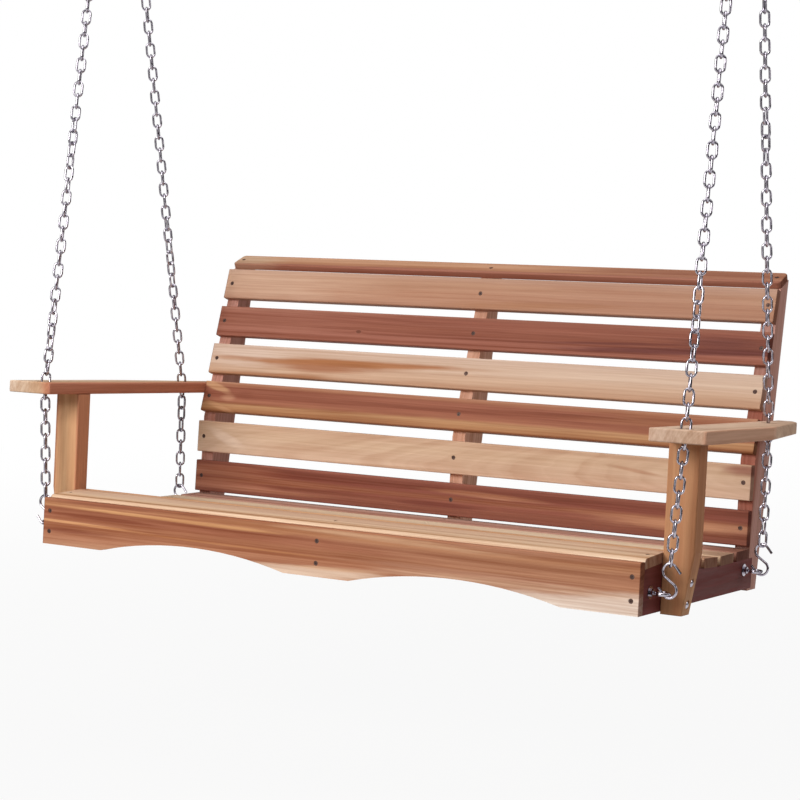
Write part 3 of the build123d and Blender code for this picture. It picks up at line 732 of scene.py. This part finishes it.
# --- chain gear -------------------------------------------------------------------------

# a link in metres: the wire's radius, the bend's radius, and half the straight run
LINK_WIRE = 0.0023
LINK_BEND = 0.0076
LINK_STRAIGHT = 0.00662
WIRE_SIDES = 6
BEND_STEPS = 6

# how far the links of each chain are turned about its run, from the top link down: link and degrees
CHAIN_TURNS = {
    "front_left": ((0, 90), (24, 30), (29, 30), (38, 120), (46, 120), (54, 30), (62, 30)),
    "front_right": ((0, 90), (24, 120), (41, 120), (49, 30), (62, 30)),
    "rear_left": ((0, 0), (22, -60), (37, -60), (48, 30), (54, 30), (60, -60), (62, -50), (63, -35)),
    "rear_right": ((0, 0), (20, 30), (29, 30), (35, -60), (61, -60), (63, -35)),
}
CHAIN = "chain_"


def link_mesh():
    """One chain link, standing along Z with its loop in the XZ plane."""
    model = bmesh.new()
    bmesh.ops.create_circle(model, segments=WIRE_SIDES, radius=LINK_WIRE,
                            matrix=Matrix.Translation((LINK_BEND, 0, -LINK_STRAIGHT)))
    edges = model.edges[:]
    for side in (1, -1):
        run = bmesh.ops.extrude_edge_only(model, edges=edges)["geom"]
        moved = [part for part in run if isinstance(part, bmesh.types.BMVert)]
        bmesh.ops.translate(model, verts=moved, vec=(0, 0, side * 2 * LINK_STRAIGHT))
        edges = [part for part in run if isinstance(part, bmesh.types.BMEdge)]
        bend = bmesh.ops.spin(model, geom=edges, cent=(0, 0, side * LINK_STRAIGHT), axis=(0, -1, 0),
                              dvec=(0, 0, 0), angle=math.pi, steps=BEND_STEPS, use_merge=False,
                              use_duplicate=False)["geom_last"]
        edges = [part for part in bend if isinstance(part, bmesh.types.BMEdge)]
    bmesh.ops.remove_doubles(model, verts=model.verts[:], dist=1e-5)
    bmesh.ops.recalc_face_normals(model, faces=model.faces[:])
    mesh = bpy.data.meshes.new("link")
    model.to_mesh(mesh)
    model.free()
    return mesh


def link_places(node):
    """Middles of the links of a CAD chain, from the top down."""
    model = bmesh.new()
    model.from_mesh(NODES[node].data)
    bmesh.ops.remove_doubles(model, verts=model.verts[:], dist=1e-6)
    seen, middles = set(), []
    for first in model.verts:
        if first.index in seen:
            continue
        low, high, front = first.co.copy(), first.co.copy(), [first]
        seen.add(first.index)
        while front:
            vert = front.pop()
            low = Vector(map(min, low, vert.co))
            high = Vector(map(max, high, vert.co))
            for edge in vert.link_edges:
                other = edge.other_vert(vert)
                if other.index not in seen:
                    seen.add(other.index)
                    front.append(other)
        middles.append((low + high) / 2)
    model.free()
    if len(middles) < 2:
        raise RuntimeError(node + " has no links")
    return sorted(middles, key=lambda middle: -middle.z)


def turn_of(turns, number):
    """How far a link is turned about its chain, in degrees."""
    for (first, low), (last, high) in zip(turns, turns[1:]):
        if number <= last:
            return low + (high - low) * (number - first) / (last - first)
    return turns[-1][1]


def link_frame(middles, number, degrees):
    """Place and turn of a link: its length along the chain and its loop square to the turn."""
    above, below = middles[max(number - 1, 0)], middles[min(number + 1, len(middles) - 1)]
    run = (above - below).normalized()
    facing = (Vector((1, 0, 0)) - run * run.x).normalized()
    facing = Matrix.Rotation(math.radians(degrees), 3, run) @ facing
    turn = Matrix((facing.cross(run), facing, run)).transposed()
    return Matrix.Translation(middles[number]) @ turn.to_4x4()


def piece(name, model, body, material, node):
    """Turn a bmesh into a finished piece that stands for a CAD node."""
    mesh = bpy.data.meshes.new(name)
    model.to_mesh(mesh)
    model.free()
    mesh.materials.append(material)
    for face in mesh.polygons:
        face.use_smooth = True
    made = bpy.data.objects.new(name, mesh)
    bpy.context.scene.collection.objects.link(made)
    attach(made, body)
    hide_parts(node)


class PORCH_OT_chains(bpy.types.Operator):
    """Forge the four chains, link by link"""

    bl_idname = "porch_swing.chains"
    bl_label = "Chains"

    def execute(self, context):
        play = math.degrees(context.scene.swing_steel.link_play)
        link = link_mesh()
        for node in sorted(name for name in NODES if name.startswith(CHAIN)):
            corner = node.removeprefix(CHAIN)
            chance = random.Random(node)
            model = bmesh.new()
            middles = link_places(node)
            for number in range(len(middles)):
                before = len(model.verts)
                model.from_mesh(link)
                model.verts.ensure_lookup_table()
                degrees = 90.0 * (len(middles) - 1 - number) + turn_of(CHAIN_TURNS[corner], number)
                degrees += play * chance.uniform(-1, 1)
                bmesh.ops.transform(model, matrix=link_frame(middles, number, degrees),
                                    verts=model.verts[before:])
            piece("links_" + corner, model, "swing", bright_zinc(), node)
        bpy.data.meshes.remove(link)
        return {"FINISHED"}


class PORCH_OT_fittings(bpy.types.Operator):
    """Give the hooks, rings, bolts and screws their metal"""

    bl_idname = "porch_swing.fittings"
    bl_label = "Hooks, bolts and screws"

    def execute(self, context):
        dull = steel("dark_screw_steel", context.scene.swing_steel.screw, DULL_POLISH)
        for node in NODES:
            if node.startswith(("s_hook", "eye_bolt", "hanging_ring", "ceiling_hook", "post_bolt")):
                dress(node, bright_zinc())
            elif node.endswith("_screws"):
                dress(node, dull)
        return {"FINISHED"}


# --- the studio -----------------------------------------------------------------------------

CAMERA_PLACE = (1.849234, -3.280000, -0.832865)
CAMERA_RIGHT = (0.8674704, 0.49742201, -0.00815288)
CAMERA_UP = (-0.06223837, 0.12476968, 0.99023177)
CAMERA_AHEAD = (-0.49358028, 0.85848933, -0.13919274)
SENSOR_WIDTH = 36.0
CLIP_END = 100.0

# name, place, what it looks at, width and height, watts and colour of each lamp
SWING_MIDDLE = (0.0, 0.0, -1.35)
LAMPS = (
    ("key", (-1.25, -4.1, 0.75), SWING_MIDDLE, (2.2, 2.0), 162.0, (1.0, 0.985, 0.96)),
    ("top", (0.3, -0.8, 2.6), SWING_MIDDLE, (2.4, 2.4), 60.0, (1.0, 0.99, 0.97)),
    ("rim", (2.9, 1.4, -0.5), (0.6, 0.2, -1.1), (1.4, 1.4), 17.0, (1.0, 0.98, 0.97)),
)
AIR_LIGHT = (0.23, 0.225, 0.22, 1.0)
WHITE = (1.0, 1.0, 1.0, 1.0)

# the floor is this white under the swing, and plain white from the second distance on
FLOOR_SIZE = 40.0
FLOOR_NEAR, FLOOR_FAR = 0.8, 4.0
FLOOR_WHITE_NEAR = 0.93

# dark cards stand round the swing: degrees from straight behind it, distance, height and half size
CARD_TURNS = (0.0, 42.0, 84.0, 122.0, 205.0, 247.0, 289.0, 326.0)
CARD_DISTANCE = 3.4
CARD_HEIGHT = -0.6
CARD_REACH = (1.15, 2.4)
CARD_COLOUR = (0.02, 0.018, 0.022, 1.0)


def place_object(name, data):
    """Put a mesh, a lamp or a camera into the scene."""
    made = bpy.data.objects.new(name, data)
    bpy.context.scene.collection.objects.link(made)
    return made


def grid_mesh(name, segments, size, matrix, material):
    """A flat sheet of the studio."""
    model = bmesh.new()
    bmesh.ops.create_grid(model, x_segments=segments, y_segments=segments, size=size, matrix=matrix)
    mesh = bpy.data.meshes.new(name)
    model.to_mesh(mesh)
    model.free()
    mesh.materials.append(material)
    return mesh


def studio_paper(colour):
    """Material of the floor: white to look at, and pale in the light that it throws back."""
    material, net, shader = blank_material("studio_paper")
    net.fill(shader.inputs, {"Base Color": rgba(colour), "Roughness": 0.9, "Specular IOR Level": 0.0})
    white = net.put("ShaderNodeEmission")
    spot = net.vector("MULTIPLY", net.put("ShaderNodeTexCoord").outputs["Object"], (1.0, 1.0, 0.0))
    away = net.ramp(net.vector("LENGTH", spot), FLOOR_NEAR, FLOOR_FAR, FLOOR_WHITE_NEAR, 1.0)
    sheet = net.put("ShaderNodeMixShader")
    net.join(net.times(net.seen_plainly(), away), sheet.inputs[0])
    net.join(shader.outputs[0], sheet.inputs[1])
    net.join(white.outputs[0], sheet.inputs[2])
    net.join(sheet.outputs[0], material.node_tree.nodes["Material Output"].inputs["Surface"])
    return material


def studio_air(scene):
    """A white backdrop, and a weaker even light on the swing."""
    world = bpy.data.worlds.new("studio_air")
    scene.world = world
    world.use_nodes = True
    world.node_tree.nodes.clear()
    net = Net(world.node_tree)
    light = net.put("ShaderNodeBackground")
    net.join(net.blend(net.seen_plainly(), AIR_LIGHT, WHITE), light.inputs["Color"])
    net.join(light.outputs[0], net.put("ShaderNodeOutputWorld").inputs["Surface"])


def area_light(name, place, target, size, power, colour):
    """A lamp of the studio, turned towards its target."""
    lamp = bpy.data.lights.new(name, "AREA")
    lamp.shape = "RECTANGLE"
    lamp.size, lamp.size_y = size
    lamp.energy = power
    lamp.color = colour
    ahead = (Vector(target) - Vector(place)).normalized()
    turn = ahead.to_track_quat("-Z", "Y").to_matrix().to_4x4()
    place_object(name, lamp).matrix_world = Matrix.Translation(place) @ turn


class PORCH_OT_studio(bpy.types.Operator):
    """Set the floor, the backdrop, the lamps and the camera"""

    bl_idname = "porch_swing.studio"
    bl_label = "Studio"

    def execute(self, context):
        studio = context.scene.swing_studio
        scene = context.scene
        scene.view_settings.view_transform = "Standard"

        level = Matrix.Translation((0, 0, studio.floor_height))
        floor = place_object("floor", grid_mesh("floor", 2, FLOOR_SIZE, level, studio_paper(studio.floor)))
        studio_air(scene)
        for lamp in LAMPS:
            area_light(*lamp)

        # the cards are there for the bright metal only
        black, _, shader = blank_material("studio_card")
        shader.inputs["Base Color"].default_value = CARD_COLOUR
        shader.inputs["Roughness"].default_value = 1.0
        standing = Matrix.Translation((0, CARD_DISTANCE, CARD_HEIGHT)) @ Matrix.Rotation(math.pi / 2, 4, "X")
        for number, turn in enumerate(CARD_TURNS, 1):
            place = Matrix.Rotation(math.radians(turn), 4, "Z") @ standing @ Matrix.Diagonal((*CARD_REACH, 1, 1))
            card = place_object("card_%d" % number, grid_mesh("card", 1, 1.0, place, black))
            card.visible_camera = card.visible_diffuse = False
            card.visible_shadow = card.visible_transmission = False

        lens = bpy.data.cameras.new("camera")
        lens.lens = studio.lens
        lens.sensor_width = SENSOR_WIDTH
        lens.clip_end = CLIP_END
        camera = place_object("camera", lens)
        turn = Matrix((CAMERA_RIGHT, CAMERA_UP, -Vector(CAMERA_AHEAD))).transposed().to_4x4()
        camera.matrix_world = Matrix.Translation(CAMERA_PLACE) @ turn
        scene.camera = camera
        return {"FINISHED"}


class PORCH_PT_panel(bpy.types.Panel):
    """The steps of dressing the swing"""

    bl_idname = "PORCH_PT_panel"
    bl_label = "Porch Swing"
    bl_space_type = "VIEW_3D"
    bl_region_type = "UI"
    bl_category = "Porch Swing"

    def draw(self, context):
        column = self.layout.column()
        for step in STEPS:
            column.operator(step.bl_idname)
        for group in (context.scene.swing_wood, context.scene.swing_steel, context.scene.swing_studio):
            for name in group.__annotations__:
                column.prop(group, name)


STEPS = (PORCH_OT_seat_slats, PORCH_OT_back_slats, PORCH_OT_frame, PORCH_OT_arms, PORCH_OT_chains,
         PORCH_OT_fittings, PORCH_OT_studio)
CLASSES = (SwingWood, SwingSteel, SwingStudio, *STEPS, PORCH_PT_panel)


def register():
    for item in CLASSES:
        bpy.utils.register_class(item)
    bpy.types.Scene.swing_wood = PointerProperty(type=SwingWood)
    bpy.types.Scene.swing_steel = PointerProperty(type=SwingSteel)
    bpy.types.Scene.swing_studio = PointerProperty(type=SwingStudio)


def unregister():
    del bpy.types.Scene.swing_studio
    del bpy.types.Scene.swing_steel
    del bpy.types.Scene.swing_wood
    for item in reversed(CLASSES):
        bpy.utils.unregister_class(item)


def main():
    register()
    for step in STEPS:
        group, name = step.bl_idname.split(".")
        getattr(getattr(bpy.ops, group), name)()


if __name__ == "__main__":
    main()
